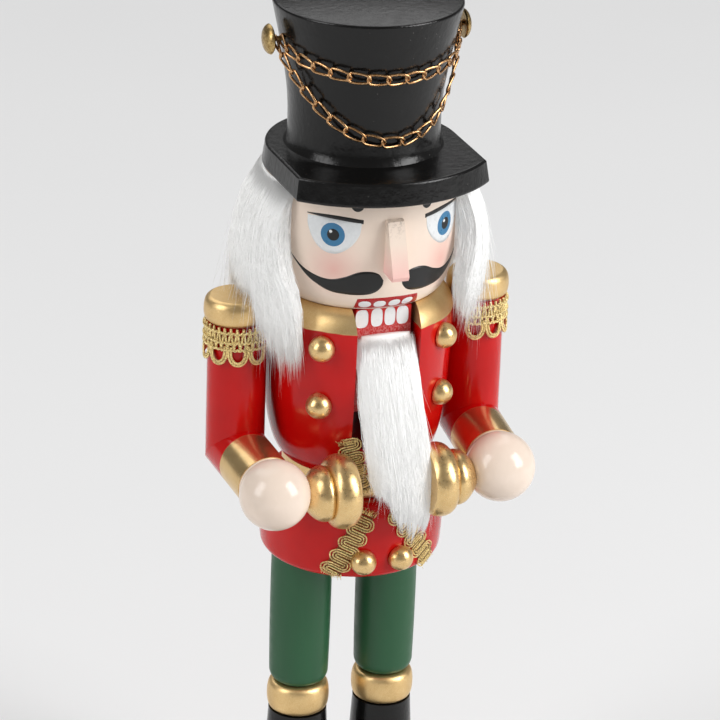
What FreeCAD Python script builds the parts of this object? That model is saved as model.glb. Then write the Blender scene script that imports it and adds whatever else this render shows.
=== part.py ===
import FreeCAD, Part
import math
import os

# A wooden nutcracker figure: turned, dowelled and glued parts, a working jaw lever, and fur and braid trim.
# Millimetres, +Z up. The figure faces -Y and its own left side is +X. The origin is the centre of the
# base's bottom face.

# ---------------------------------------------------------------- driving dimensions
FIGURE_HEIGHT = 355.5

BASE_WIDTH, BASE_DEPTH, BASE_TOP = 90.0, 70.0, 16.0
BOOT_TOP = 71.0
CUFF_TOP = 83.0
LEG_X, LEG_Y, LEG_R = 17.1, 4.5, 11.3
SKIRT_BOTTOM, SKIRT_TOP = 141.0, 170.0
BELT_R, BELT_TOP = 26.2, 180.0
TORSO_TOP = 246.2
TORSO_R = 34.9
BRIM_BOTTOM, BRIM_TOP = 291.4, 300.0
BRIM_HALF_WIDTH, BRIM_CORNER_Y, BRIM_FRONT_Y = 35.2, -30.4, -45.6
BRIM_FLARE = 1.2            # the brim's lower outline stands out this much further than its upper one

SLOT_HALF_WIDTH, SLOT_FLOOR = 12.2, 193.0
JAW_HALF_WIDTH, JAW_FRONT_Y = 10.5, -26.5
JAW_HEAD_GAP = 0.5
HANDLE_BACK_Y, HANDLE_BOTTOM = 51.9, 160.0
PIVOT_Y, PIVOT_Z = 2.0, 228.0
PIN_R, PIN_HALF_LENGTH = 1.5, 25.0
PIN_CLEARANCE = 0.06        # radial, between the pin and the lever
GLUE_CLEARANCE = 0.05       # radial, between a glued dowel or pin and its bore

ARM_X, ARM_R = 46.2, 10.8
ELBOW_Z = 185.5
CAP_X, CAP_BOTTOM = 47.0, 236.0
HAND_X, HAND_Y, HAND_Z, HAND_R = 43.6, -37.7, 182.3, 12.9
FOREARM_LENGTH = 29.5       # elbow centre to the front of the cuff
WRIST_R = 10.5
CYMBAL_Y, CYMBAL_Z = -38.0, 180.6

BUTTON_R, BUTTON_STANDOFF = 4.8, 0.7
BUTTON_GLUE = 0.08          # the film of glue behind a button
TRIM_THICKNESS, TRIM_GAP = 1.2, 0.1
WAIST_TRIM_WIDTH, HEM_TRIM_WIDTH = 8.0, 7.5
EPAULETTE_BOTTOM, EPAULETTE_TOP = 223.0, 235.8

TACK_Z, TACK_HEAD_R, TACK_SHANK_R = 341.0, 5.5, 0.9
TACK_HEAD_X, TACK_TIP_X = 36.0, 22.0
LINK_LENGTH, LINK_WIDTH, LINK_WIRE, LINK_SLACK = 7.6, 4.0, 0.88, 0.14
CHAIN_OFF_HAT = 2.9         # chain centre line to the crown's side
UPPER_CHAIN_LOW, UPPER_CHAIN_END_X = 333.4, 32.1
LOWER_CHAIN_LOW, LOWER_CHAIN_END_X = 309.4, 34.8

DOWEL_R = 3.0
SMALL_DOWEL_R = 2.5

# Outlines of the turned parts: lists of runs, each of (radius, height) points from the bottom upwards.
TORSO_OUTLINE = [
    [(27.0, BELT_TOP), (29.3, 183.6), (31.2, 189.0), (32.6, 196.0), (33.6, 205.0), (34.3, 217.0),
     (TORSO_R, 229.0), (TORSO_R, 238.6)],
    [(TORSO_R, 238.6), (32.7, 243.2), (29.0, TORSO_TOP)],
]
SKIRT_OUTLINE = [
    [(31.2, SKIRT_BOTTOM), (33.0, 142.0), (33.8, 145.2), (34.1, 150.0), (34.2, 157.0), (33.7, 163.5),
     (32.3, 168.0), (29.5, SKIRT_TOP)],
]
HEAD_OUTLINE = [
    [(28.2, TORSO_TOP), (30.5, 248.2), (32.6, 252.6), (34.2, 260.0), (35.1, 270.0), (35.3, 280.0),
     (35.0, BRIM_BOTTOM)],
]
CROWN_SIDE = [(28.9, BRIM_TOP), (27.9, 302.5), (27.5, 307.0), (27.6, 314.0), (28.3, 322.0), (29.8, 331.5),
              (31.4, 340.0), (33.1, 348.0), (34.1, 352.6)]
CROWN_OUTLINE = [
    CROWN_SIDE,
    [(34.1, 352.6), (33.9, 353.4), (33.0, 353.7)],
    [(33.0, 353.7), (18.0, 355.1), (0.0, FIGURE_HEIGHT)],
]

X_AXIS, Y_AXIS, Z_AXIS = (FreeCAD.Vector(1, 0, 0), FreeCAD.Vector(0, 1, 0), FreeCAD.Vector(0, 0, 1))
SIDES = {"right": -1, "left": 1}    # the figure's own sides, as signs of X


def vec(x, y, z):
    return FreeCAD.Vector(x, y, z)


# ---------------------------------------------------------------- shape helpers
def run_edge(points, shift=0.0):
    """One edge of an outline: a straight line for two points, a smooth curve for more."""
    places = [vec(r + shift, 0, z) for r, z in points]
    if len(places) == 2:
        return Part.makeLine(places[0], places[1])
    curve = Part.BSplineCurve()
    curve.interpolate(places)
    return curve.toShape()


def turned(runs):
    """A solid of revolution about Z inside the given outline."""
    edges = [run_edge(run) for run in runs]
    bottom_r, bottom_z = runs[0][0]
    top_r, top_z = runs[-1][-1]
    if top_r > 0:
        edges.append(Part.makeLine(vec(top_r, 0, top_z), vec(0, 0, top_z)))
    edges.append(Part.makeLine(vec(0, 0, top_z), vec(0, 0, bottom_z)))
    if bottom_r > 0:
        edges.append(Part.makeLine(vec(0, 0, bottom_z), vec(bottom_r, 0, bottom_z)))
    face = Part.Face(Part.Wire(edges))
    return face.revolve(vec(0, 0, 0), Z_AXIS, 360)


def prism(points, thickness, axis):
    """A flat outline of 3-D points, extruded both ways along axis to the given thickness."""
    shape = Part.makePolygon(points + points[:1])
    solid = Part.Face(shape).extrude(axis * thickness)
    solid.translate(axis * (-thickness / 2))
    return solid


def round_dowel(centre, direction, radius, length):
    """A cylinder centred on a point."""
    start = centre - direction * (length / 2)
    return Part.makeCylinder(radius, length, start, direction)


def bored(solid, centre, direction, radius, length):
    """The solid with a glued dowel's bore cut in it, a little larger than the dowel."""
    return solid.cut(round_dowel(centre, direction, radius + GLUE_CLEARANCE, length + 2 * GLUE_CLEARANCE))


def front_angle_turn(shape, degrees):
    """Turns a shape made in the +X half plane so that 0 is the front and +90 the figure's left."""
    shape.rotate(vec(0, 0, 0), Z_AXIS, degrees - 90)
    return shape


def revolved_band(inner, outer, start, end):
    """A band between two outlines, swept from one angle to another, counted from the front."""
    edges = [run_edge(inner), run_edge(outer),
             Part.makeLine(vec(inner[0][0], 0, inner[0][1]), vec(outer[0][0], 0, outer[0][1])),
             Part.makeLine(vec(inner[-1][0], 0, inner[-1][1]), vec(outer[-1][0], 0, outer[-1][1]))]
    face = Part.Face(Part.Wire(Part.__sortEdges__(edges)))
    return front_angle_turn(face.revolve(vec(0, 0, 0), Z_AXIS, end - start), start)


def radius_at(outline, height):
    """The radius of a turned outline at a height, between its nearest two points."""
    for (r0, z0), (r1, z1) in zip(outline, outline[1:]):
        if z0 <= height <= z1:
            return r0 + (r1 - r0) * (height - z0) / (z1 - z0)
    raise ValueError("height is outside the outline")


# ---------------------------------------------------------------- dowels and the pin
def leg_dowel_places(height, length):
    return [(vec(side * LEG_X, LEG_Y, height), Z_AXIS, DOWEL_R, length) for side in SIDES.values()]


BASE_DOWELS = leg_dowel_places(BASE_TOP, 22.0)
BOOT_DOWELS = leg_dowel_places((BOOT_TOP + CUFF_TOP) / 2, 36.0)
LEG_DOWELS = leg_dowel_places(SKIRT_BOTTOM, 26.0)
WAIST_DOWEL = [(vec(0, 0, (SKIRT_TOP + BELT_TOP) / 2), Z_AXIS, 5.0, 26.0)]
HEAD_DOWELS = [(vec(side * 20.0, 4.0, TORSO_TOP), Z_AXIS, SMALL_DOWEL_R, 22.0) for side in SIDES.values()]
HAT_DOWEL = [(vec(0, 0, (BRIM_BOTTOM + BRIM_TOP) / 2), Z_AXIS, 5.0, 34.0)]
SHOULDER_DOWELS = [(vec(side * 35.0, 0, 225.0), X_AXIS, SMALL_DOWEL_R, 16.0) for side in SIDES.values()]


def dowels(places):
    return Part.makeCompound([round_dowel(*place) for place in places])


def dowelled(solid, *groups):
    """The solid with the bores of every dowel of the given groups."""
    for places in groups:
        for place in places:
            solid = bored(solid, *place)
    return solid


def pivot_pin():
    return round_dowel(vec(0, PIVOT_Y, PIVOT_Z), X_AXIS, PIN_R, 2 * PIN_HALF_LENGTH)


# ---------------------------------------------------------------- base, boots and legs
def base_plinth():
    block = Part.makeBox(BASE_WIDTH, BASE_DEPTH, BASE_TOP, vec(-BASE_WIDTH / 2, -BASE_DEPTH / 2, 0))
    upright = [e for e in block.Edges if abs(e.tangentAt(e.FirstParameter).z) > 0.9]
    block = block.makeFillet(5.0, upright)
    rim = [e for e in block.Edges if min(v.Z for v in e.Vertexes) > BASE_TOP - 0.01]
    return dowelled(block.makeFillet(2.5, rim), BASE_DOWELS)


def boot(side):
    solid = turned([[(13.4, BASE_TOP), (13.2, 26.0), (12.5, 44.0), (11.7, 60.0), (11.1, BOOT_TOP)]])
    solid.translate(vec(side * LEG_X, LEG_Y, 0))
    return dowelled(solid, BASE_DOWELS, BOOT_DOWELS)


def toe(side):
    """The rounded block glued to the front of a boot."""
    solid = turned([[(12.2, BASE_TOP), (12.4, BASE_TOP + 3), (11.6, BASE_TOP + 8),
                     (8.0, BASE_TOP + 12), (0.0, BASE_TOP + 13.5)]])
    solid.translate(vec(side * LEG_X, LEG_Y - 14.5, 0))
    boot_core = turned([[(13.5, BASE_TOP - 1), (13.45, BASE_TOP + 5), (13.2, BASE_TOP + 12),
                         (13.0, BASE_TOP + 18)]])
    boot_core.translate(vec(side * LEG_X, LEG_Y, 0))
    front = Part.makeBox(40, 30, 30, vec(side * LEG_X - 20, LEG_Y - 40, BASE_TOP - 1))
    return solid.cut(boot_core).common(front)


def boot_cuff(side):
    low, high = BOOT_TOP, CUFF_TOP
    solid = turned([[(9.0, low), (10.9, low + 1.0), (11.7, low + 3.6), (11.7, high - 3.6),
                     (10.9, high - 1.0), (9.0, high)]])
    solid.translate(vec(side * LEG_X, LEG_Y, 0))
    return dowelled(solid, BOOT_DOWELS)


def leg(side):
    solid = turned([[(7.6, CUFF_TOP), (9.9, CUFF_TOP + 1.2), (LEG_R - 0.1, CUFF_TOP + 4.2)],
                    [(LEG_R - 0.1, CUFF_TOP + 4.2), (LEG_R + 0.2, 108.0), (LEG_R, SKIRT_BOTTOM)]])
    solid.translate(vec(side * LEG_X, LEG_Y, 0))
    return dowelled(solid, BOOT_DOWELS, LEG_DOWELS)


# ---------------------------------------------------------------- body
def skirt():
    return dowelled(turned(SKIRT_OUTLINE), LEG_DOWELS, WAIST_DOWEL)


def belt():
    edge = 0.6
    solid = turned([[(BELT_R - edge, SKIRT_TOP), (BELT_R, SKIRT_TOP + edge)],
                    [(BELT_R, SKIRT_TOP + edge), (BELT_R, BELT_TOP - edge)],
                    [(BELT_R, BELT_TOP - edge), (BELT_R - edge, BELT_TOP)]])
    return dowelled(solid, WAIST_DOWEL)


def torso():
    """The barrel of the coat, sawn through from front to back for the jaw lever."""
    slot = Part.makeBox(2 * SLOT_HALF_WIDTH, 120, 80, vec(-SLOT_HALF_WIDTH, -60, SLOT_FLOOR))
    solid = turned(TORSO_OUTLINE).cut(slot)
    solid = bored(solid, vec(0, PIVOT_Y, PIVOT_Z), X_AXIS, PIN_R, 2 * PIN_HALF_LENGTH)
    return dowelled(solid, WAIST_DOWEL, HEAD_DOWELS, SHOULDER_DOWELS)


def jaw_lever():
    """Jaw, pivot block and rear handle in one sawn board; lifting the handle drops the jaw."""
    jaw_top = TORSO_TOP - JAW_HEAD_GAP
    outline = [(JAW_FRONT_Y, jaw_top), (JAW_FRONT_Y, 206), (-14, 206), (-9, 214), (28, 213), (37, 205),
               (42, HANDLE_BOTTOM), (HANDLE_BACK_Y, HANDLE_BOTTOM), (46.5, 226), (41, 233), (28, 232), (11, 237.5),
               (2, jaw_top)]
    solid = prism([vec(0, y, z) for y, z in outline], 2 * JAW_HALF_WIDTH, X_AXIS)
    outer_corners = [e for e in solid.Edges
                     if abs(e.tangentAt(e.FirstParameter).x) > 0.9 and e.CenterOfMass.y > 35]
    solid = solid.makeFillet(2.0, outer_corners)
    bore = round_dowel(vec(0, PIVOT_Y, PIVOT_Z), X_AXIS, PIN_R + PIN_CLEARANCE, 60)
    return solid.cut(bore)


def beard():
    """The fur strip that hangs from the jaw: (height, right x, left x, back y, front y) sections."""
    sections = [(236, -10.2, 10.2, -26.9, -33.0), (216, -11.4, 11.6, -28.5, -38.5),
                (199, -11.8, 12.8, -34.4, -42.5), (182, -9.0, 13.8, -36.6, -45.5),
                (168, -4.0, 13.6, -36.6, -44.5), (154, -0.5, 11.0, -36.6, -41.5)]
    wires = [Part.makePolygon([vec(x0, y0, z), vec(x1, y0, z), vec(x1, y1, z), vec(x0, y1, z), vec(x0, y0, z)])
             for z, x0, x1, y0, y1 in sections]
    return Part.makeLoft(wires, True, True)


# ---------------------------------------------------------------- head
def head():
    return dowelled(turned(HEAD_OUTLINE), HEAD_DOWELS, HAT_DOWEL)


def nose():
    """A wedge glued to the face, deepest at its lower end."""
    top, bottom, half_width, offset = 284.0, 262.2, 3.1, -0.8
    outline = [vec(offset, -30, top), vec(offset, -37.2, top - 1.5), vec(offset, -44.0, bottom + 1.6),
               vec(offset, -43.2, bottom), vec(offset, -30, bottom + 0.8)]
    return prism(outline, 2 * half_width, X_AXIS).cut(turned(HEAD_OUTLINE))


def hair_back():
    """The fur glued round the head from temple to temple, parted behind for the lever's handle."""
    top = BRIM_BOTTOM - 0.5
    side_start, parting = 70, 20
    upper = revolved_band([(34.0, 252.0), (35.2, 260), (35.8, 272), (35.8, top)],
                          [(46.5, 252.0), (48.6, 262), (47.0, 276), (41.5, top)],
                          side_start, 360 - side_start)
    tails = [revolved_band([(35.6, 222.0), (35.6, 238.0), (34.0, 252.5)],
                           [(41.0, 222.0), (45.5, 238.0), (46.4, 252.5)],
                           start, start + 32) for start in (180 - parting - 32, 180 + parting)]
    return upper.fuse(tails[0]).fuse(tails[1])


def hair_lock(side):
    """A lock of fur that falls from the temple in front of the shoulder."""
    inner = [(35.6, 214.0), (35.6, 240.0), (35.6, 262.0), (35.9, BRIM_BOTTOM - 0.5)]
    outer = [(38.5, 214.0), (42.0, 240.0), (45.0, 262.0), (41.0, BRIM_BOTTOM - 0.5)]
    start, end = (52, 69.5) if side > 0 else (-69.5, -52)
    return revolved_band(inner, outer, start, end)


# ---------------------------------------------------------------- hat
def brim_wire(flare, height):
    """The brim's outline: round behind, straight at the sides, with a bowed front between two corners."""
    half = BRIM_HALF_WIDTH + flare
    corner_y, front_y = BRIM_CORNER_Y - flare, BRIM_FRONT_Y - flare
    back = Part.Arc(vec(half, 0, height), vec(0, half, height), vec(-half, 0, height)).toShape()
    front = Part.Arc(vec(-half, corner_y, height), vec(0, front_y, height), vec(half, corner_y, height)).toShape()
    right = Part.makeLine(vec(-half, 0, height), vec(-half, corner_y, height))
    left = Part.makeLine(vec(half, corner_y, height), vec(half, 0, height))
    return Part.Wire([back, right, front, left])


def hat_brim():
    board = Part.makeLoft([brim_wire(BRIM_FLARE, BRIM_BOTTOM), brim_wire(0.0, BRIM_TOP)], True, True)
    rims = [e for e in board.Edges if abs(e.Vertexes[0].Z - e.Vertexes[-1].Z) < 0.01]
    return dowelled(board.makeFillet(1.0, rims), HAT_DOWEL)


def hat_crown():
    solid = dowelled(turned(CROWN_OUTLINE), HAT_DOWEL)
    for side in SIDES.values():
        length = 2 * (32.0 - TACK_TIP_X)
        solid = bored(solid, vec(side * 32.0, 0, TACK_Z), X_AXIS, TACK_SHANK_R, length)
    return solid


def hat_tack(side):
    """A domed tack; its shank carries the chains' end links."""
    dome = turned([[(TACK_HEAD_R - 0.5, 0), (TACK_HEAD_R, 0.5)],
                   [(TACK_HEAD_R, 0.5), (4.6, 1.8), (2.6, 2.7), (0.0, 3.1)]])
    shank = Part.makeCylinder(TACK_SHANK_R, TACK_HEAD_X - TACK_TIP_X + 0.2, vec(0, 0, TACK_TIP_X - TACK_HEAD_X))
    tack = dome.fuse(shank)
    tack.rotate(vec(0, 0, 0), Y_AXIS, side * 90)
    tack.translate(vec(side * TACK_HEAD_X, 0, TACK_Z))
    return tack


def chain_point(share, low, outset, end_x):
    """A point of a chain: share runs from -1 at the right tack over 0 in front to +1 at the left."""
    angle = math.radians(90 * share)
    height = low + (TACK_Z - low) * share ** 2
    free = radius_at(CROWN_SIDE, height) + outset
    radius = free + (end_x - free) * share ** 8
    return vec(radius * math.sin(angle), -radius * math.cos(angle), height)


def chain_link():
    """A flat oval link along X, lying in the XY plane."""
    bend_r = (LINK_WIDTH - LINK_WIRE) / 2
    half = LINK_LENGTH / 2 - LINK_WIRE / 2 - bend_r
    wire_r = LINK_WIRE / 2
    bars = [Part.makeCylinder(wire_r, 2 * half, vec(-half, s * bend_r, 0), X_AXIS) for s in (-1, 1)]
    right_end = Part.makeTorus(bend_r, wire_r, vec(half, 0, 0), Z_AXIS, -180, 180, 180)
    right_end.rotate(vec(half, 0, 0), Z_AXIS, -90)
    left_end = right_end.copy()
    left_end.rotate(vec(0, 0, 0), Z_AXIS, 180)
    return bars[0].fuse([bars[1], right_end, left_end])


def hat_chain(low, outset, end_x):
    """Links strung from tack to tack round the front of the crown, every second one turned on edge."""
    steps = 720
    line = [chain_point(-1 + 2 * i / steps, low, outset, end_x) for i in range(steps + 1)]
    reach = [0.0]
    for before, after in zip(line, line[1:]):
        reach.append(reach[-1] + before.distanceToPoint(after))
    end_offset = LINK_LENGTH / 2 - LINK_WIRE - TACK_SHANK_R - 0.1
    span = reach[-1] - 2 * end_offset
    slack_pitch = LINK_LENGTH - 2 * LINK_WIRE - LINK_SLACK
    gaps = math.ceil(span / slack_pitch)
    gaps += gaps % 2
    links = []
    for number in range(gaps + 1):
        target = end_offset + span * number / gaps
        at = min(range(1, steps), key=lambda i: abs(reach[i] - target))
        along = (line[at + 1] - line[at - 1]).normalize()
        if number in (0, gaps):
            outward = vec(1, 0, 0)
            along = vec(0, along.y, along.z).normalize()
        else:
            outward = vec(line[at].x, line[at].y, 0)
        across = outward.cross(along).normalize()
        normal = along.cross(across)
        if number % 2:
            across, normal = normal, -across
        placed = FreeCAD.Matrix(along.x, across.x, normal.x, line[at].x, along.y, across.y, normal.y, line[at].y,
                                along.z, across.z, normal.z, line[at].z, 0, 0, 0, 1)
        link = chain_link()
        link.transformShape(placed)
        links.append(link)
    return Part.makeCompound(links)


# ---------------------------------------------------------------- arms
def elbow(side):
    return vec(side * ARM_X, 0, ELBOW_Z)


def forearm_direction(side):
    return (vec(side * HAND_X, HAND_Y, HAND_Z) - elbow(side)).normalize()


def mitre_half(side, keep_upper):
    """A large half space on one side of the elbow's mitre plane."""
    normal = (Z_AXIS - forearm_direction(side)).normalize()
    if not keep_upper:
        normal = normal * -1
    block = Part.makeBox(80, 80, 80, vec(-40, -40, 0))
    turn = FreeCAD.Rotation(Z_AXIS, normal)
    block.Placement = FreeCAD.Placement(elbow(side), turn)
    return block


def upper_arm(side):
    solid = Part.makeCylinder(ARM_R, CAP_BOTTOM - 165.0, vec(side * ARM_X, 0, 165.0))
    return dowelled(solid.common(mitre_half(side, True)), SHOULDER_DOWELS)


def wrist_dowel_place(side):
    along = forearm_direction(side)
    return (elbow(side) + along * (FOREARM_LENGTH + 1.0), along, 2.0, 16.0)


def forearm(side):
    along = forearm_direction(side)
    solid = Part.makeCylinder(ARM_R, FOREARM_LENGTH + 20.0, elbow(side) - along * 20.0, along)
    return dowelled(solid.common(mitre_half(side, False)), [wrist_dowel_place(side)])


def hand(side):
    along = forearm_direction(side)
    ball = Part.makeSphere(HAND_R, vec(side * HAND_X, HAND_Y, HAND_Z))
    ball = ball.cut(Part.makeCylinder(20, 40, elbow(side) + along * (FOREARM_LENGTH - 40), along))
    wrist = Part.makeCylinder(WRIST_R, 3.0, elbow(side) + along * FOREARM_LENGTH, along)
    return dowelled(ball.fuse(wrist), [wrist_dowel_place(side)])


def shoulder_cap(side):
    solid = turned([[(8.8, CAP_BOTTOM), (10.8, 236.9), (11.5, 239.0), (11.5, 241.6), (10.9, 244.2),
                     (9.2, 245.6)]])
    solid.translate(vec(side * CAP_X, 0, 0))
    return solid


def shoulder_braid(side):
    """The looped braid round the top of the arm, left open where the arm meets the body."""
    height = EPAULETTE_TOP - EPAULETTE_BOTTOM
    centre = vec(side * ARM_X, 0, EPAULETTE_BOTTOM)
    inner_r = ARM_R + TRIM_GAP
    ring = Part.makeCylinder(inner_r + TRIM_THICKNESS, height, centre)
    ring = ring.cut(Part.makeCylinder(inner_r, height, centre))
    gap = Part.makeBox(12, 15, height, vec(-6, -7.5, 0))
    gap.translate(vec(side * (ARM_X - ARM_R), 0, EPAULETTE_BOTTOM))
    return ring.cut(gap)


def cymbal_piece(side, runs):
    """A turned piece on the cymbal's axis; its heights count from the hand's centre towards the middle."""
    solid = turned(runs)
    solid.rotate(vec(0, 0, 0), Y_AXIS, -side * 90)
    solid.translate(vec(side * HAND_X, CYMBAL_Y, CYMBAL_Z))
    return solid


def cymbal_knob(side):
    solid = cymbal_piece(side, [[(4.8, 11.0), (8.0, 13.6), (9.9, 16.2), (10.3, 18.2), (9.6, 19.9)]])
    return solid.cut(Part.makeSphere(HAND_R, vec(side * HAND_X, HAND_Y, HAND_Z)))


def cymbal_bell(side):
    return cymbal_piece(side, [[(10.0, 19.9), (12.1, 20.8), (13.4, 22.8), (13.7, 25.0), (13.2, 27.4),
                                (11.8, 29.3)]])


# ---------------------------------------------------------------- buttons and braid
def bead_button(degrees, height, outline):
    """A round bead with a flat back, glued on square to the coat."""
    radius = radius_at(outline[0], height)
    rise = radius_at(outline[0], height + 1) - radius_at(outline[0], height - 1)
    angle, tilt = math.radians(degrees), math.atan(rise / 2)
    outward = vec(math.cos(tilt) * math.sin(angle), -math.cos(tilt) * math.cos(angle), -math.sin(tilt))
    centre = vec(radius * math.sin(angle), -radius * math.cos(angle), height)
    centre = centre + outward * (BUTTON_STANDOFF + BUTTON_GLUE)
    flat_back = -math.degrees(math.asin(BUTTON_STANDOFF / BUTTON_R))
    return Part.makeSphere(BUTTON_R, centre, outward, flat_back, 90)


def torso_buttons():
    places = [(side * degrees, height) for side in SIDES.values() for degrees, height in ((41, 232.4), (42.5, 209.6))]
    return Part.makeCompound([bead_button(a, z, TORSO_OUTLINE) for a, z in places])


def skirt_buttons():
    return Part.makeCompound([bead_button(side * 12.0, 148.6, SKIRT_OUTLINE) for side in SIDES.values()])


def braid_strip(outline, ends, width):
    """A flat strip laid over a turned surface, from one (x, z) end to the other as seen from the front."""
    (x0, z0), (x1, z1) = ends
    inner = [(r + TRIM_GAP, z) for r, z in outline]
    outer = [(r + TRIM_GAP + TRIM_THICKNESS, z) for r, z in outline]
    sheet = revolved_band(inner, outer, -60, 60)
    along = vec(x1 - x0, 0, z1 - z0).normalize()
    across = vec(-along.z, 0, along.x) * (width / 2)
    start, end = vec(x0, -30, z0), vec(x1, -30, z1)
    cutter = prism([start + across, end + across, end - across, start - across], 60, Y_AXIS)
    return sheet.common(cutter)


def waist_braid(side):
    surface = [(32.7, 196.5), (31.3, 189.2), (29.5, 183.7), (27.6, 179.6), (26.8, 176.0), (26.6, 171.4)]
    return braid_strip(surface, [(side * 11.5, 194.5), (side * 5.2, 173.5)], WAIST_TRIM_WIDTH)


def hem_braid(side):
    surface = [(33.7, 144.0), (34.05, 147.0), (34.25, 152.0), (34.3, 157.0), (33.9, 163.3), (33.0, 166.6)]
    return braid_strip(surface, [(side * 19.6, 145.0), (side * 7.0, 166.0)], HEM_TRIM_WIDTH)


# ---------------------------------------------------------------- all parts
def all_parts():
    parts = {
        "base_plinth": base_plinth(),
        "base_dowels": dowels(BASE_DOWELS),
        "boot_dowels": dowels(BOOT_DOWELS),
        "leg_dowels": dowels(LEG_DOWELS),
        "skirt": skirt(),
        "belt": belt(),
        "waist_dowel": dowels(WAIST_DOWEL),
        "torso": torso(),
        "jaw_lever": jaw_lever(),
        "jaw_pivot_pin": pivot_pin(),
        "beard": beard(),
        "head": head(),
        "head_dowels": dowels(HEAD_DOWELS),
        "nose": nose(),
        "hair_back": hair_back(),
        "hat_brim": hat_brim(),
        "hat_crown": hat_crown(),
        "hat_dowel": dowels(HAT_DOWEL),
        "hat_chain_upper": hat_chain(UPPER_CHAIN_LOW, CHAIN_OFF_HAT, UPPER_CHAIN_END_X),
        "hat_chain_lower": hat_chain(LOWER_CHAIN_LOW, CHAIN_OFF_HAT - 0.5, LOWER_CHAIN_END_X),
        "shoulder_dowels": dowels(SHOULDER_DOWELS),
        "wrist_dowels": dowels([wrist_dowel_place(side) for side in SIDES.values()]),
        "torso_buttons": torso_buttons(),
        "skirt_buttons": skirt_buttons(),
    }
    makers = {
        "boot": boot, "toe": toe, "boot_cuff": boot_cuff, "leg": leg, "hair_lock": hair_lock,
        "hat_tack": hat_tack, "upper_arm": upper_arm, "forearm": forearm, "hand": hand,
        "shoulder_cap": shoulder_cap, "shoulder_braid": shoulder_braid, "cymbal_knob": cymbal_knob,
        "cymbal_bell": cymbal_bell, "waist_braid": waist_braid, "hem_braid": hem_braid,
    }
    for name, make in makers.items():
        for side_name, side in SIDES.items():
            parts[name + "_" + side_name] = make(side)
    return parts


os.makedirs("parts", exist_ok=True)
for node, shape in all_parts().items():
    if not shape.isValid() or not shape.Solids:
        raise ValueError(node + " is not a valid solid")
    shape.exportStep(os.path.join("parts", node + ".step"))
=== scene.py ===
"""Finish, hair, braid and painted face of a wooden nutcracker soldier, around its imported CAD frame.

Lengths are in millimetres until a mesh is made. The figure faces -Y and stands on z = 0. A place on
a turned part is an angle from the front, in degrees and positive towards +X, and a height.
"""
import math
import random

import bpy
import numpy as np
from mathutils import Matrix, Vector
from mathutils.bvhtree import BVHTree


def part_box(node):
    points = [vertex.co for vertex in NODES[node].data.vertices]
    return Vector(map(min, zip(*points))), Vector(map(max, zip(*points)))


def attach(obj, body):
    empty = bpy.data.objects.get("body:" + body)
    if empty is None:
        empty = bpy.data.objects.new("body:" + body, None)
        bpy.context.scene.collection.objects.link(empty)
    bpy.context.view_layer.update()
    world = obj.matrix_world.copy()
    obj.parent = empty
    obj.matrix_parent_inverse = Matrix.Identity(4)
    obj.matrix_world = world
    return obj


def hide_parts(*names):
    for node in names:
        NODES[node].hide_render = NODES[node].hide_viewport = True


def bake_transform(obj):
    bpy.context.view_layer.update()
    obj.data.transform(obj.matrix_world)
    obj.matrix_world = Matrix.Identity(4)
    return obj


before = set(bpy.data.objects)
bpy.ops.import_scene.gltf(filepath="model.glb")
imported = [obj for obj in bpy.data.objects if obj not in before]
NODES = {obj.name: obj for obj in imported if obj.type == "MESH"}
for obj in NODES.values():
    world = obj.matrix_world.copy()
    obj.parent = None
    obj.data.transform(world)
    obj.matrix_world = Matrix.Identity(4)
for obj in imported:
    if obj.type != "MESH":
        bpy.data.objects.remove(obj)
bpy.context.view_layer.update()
MM = 0.001
BOXES = {}      # what node_box has measured


def node_box(name):
    """The lowest and highest corner of a CAD node, in millimetres."""
    if name not in BOXES:
        low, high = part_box(name)
        BOXES[name] = low / MM, high / MM
    return BOXES[name]


# ---- Meshes ----

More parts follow.
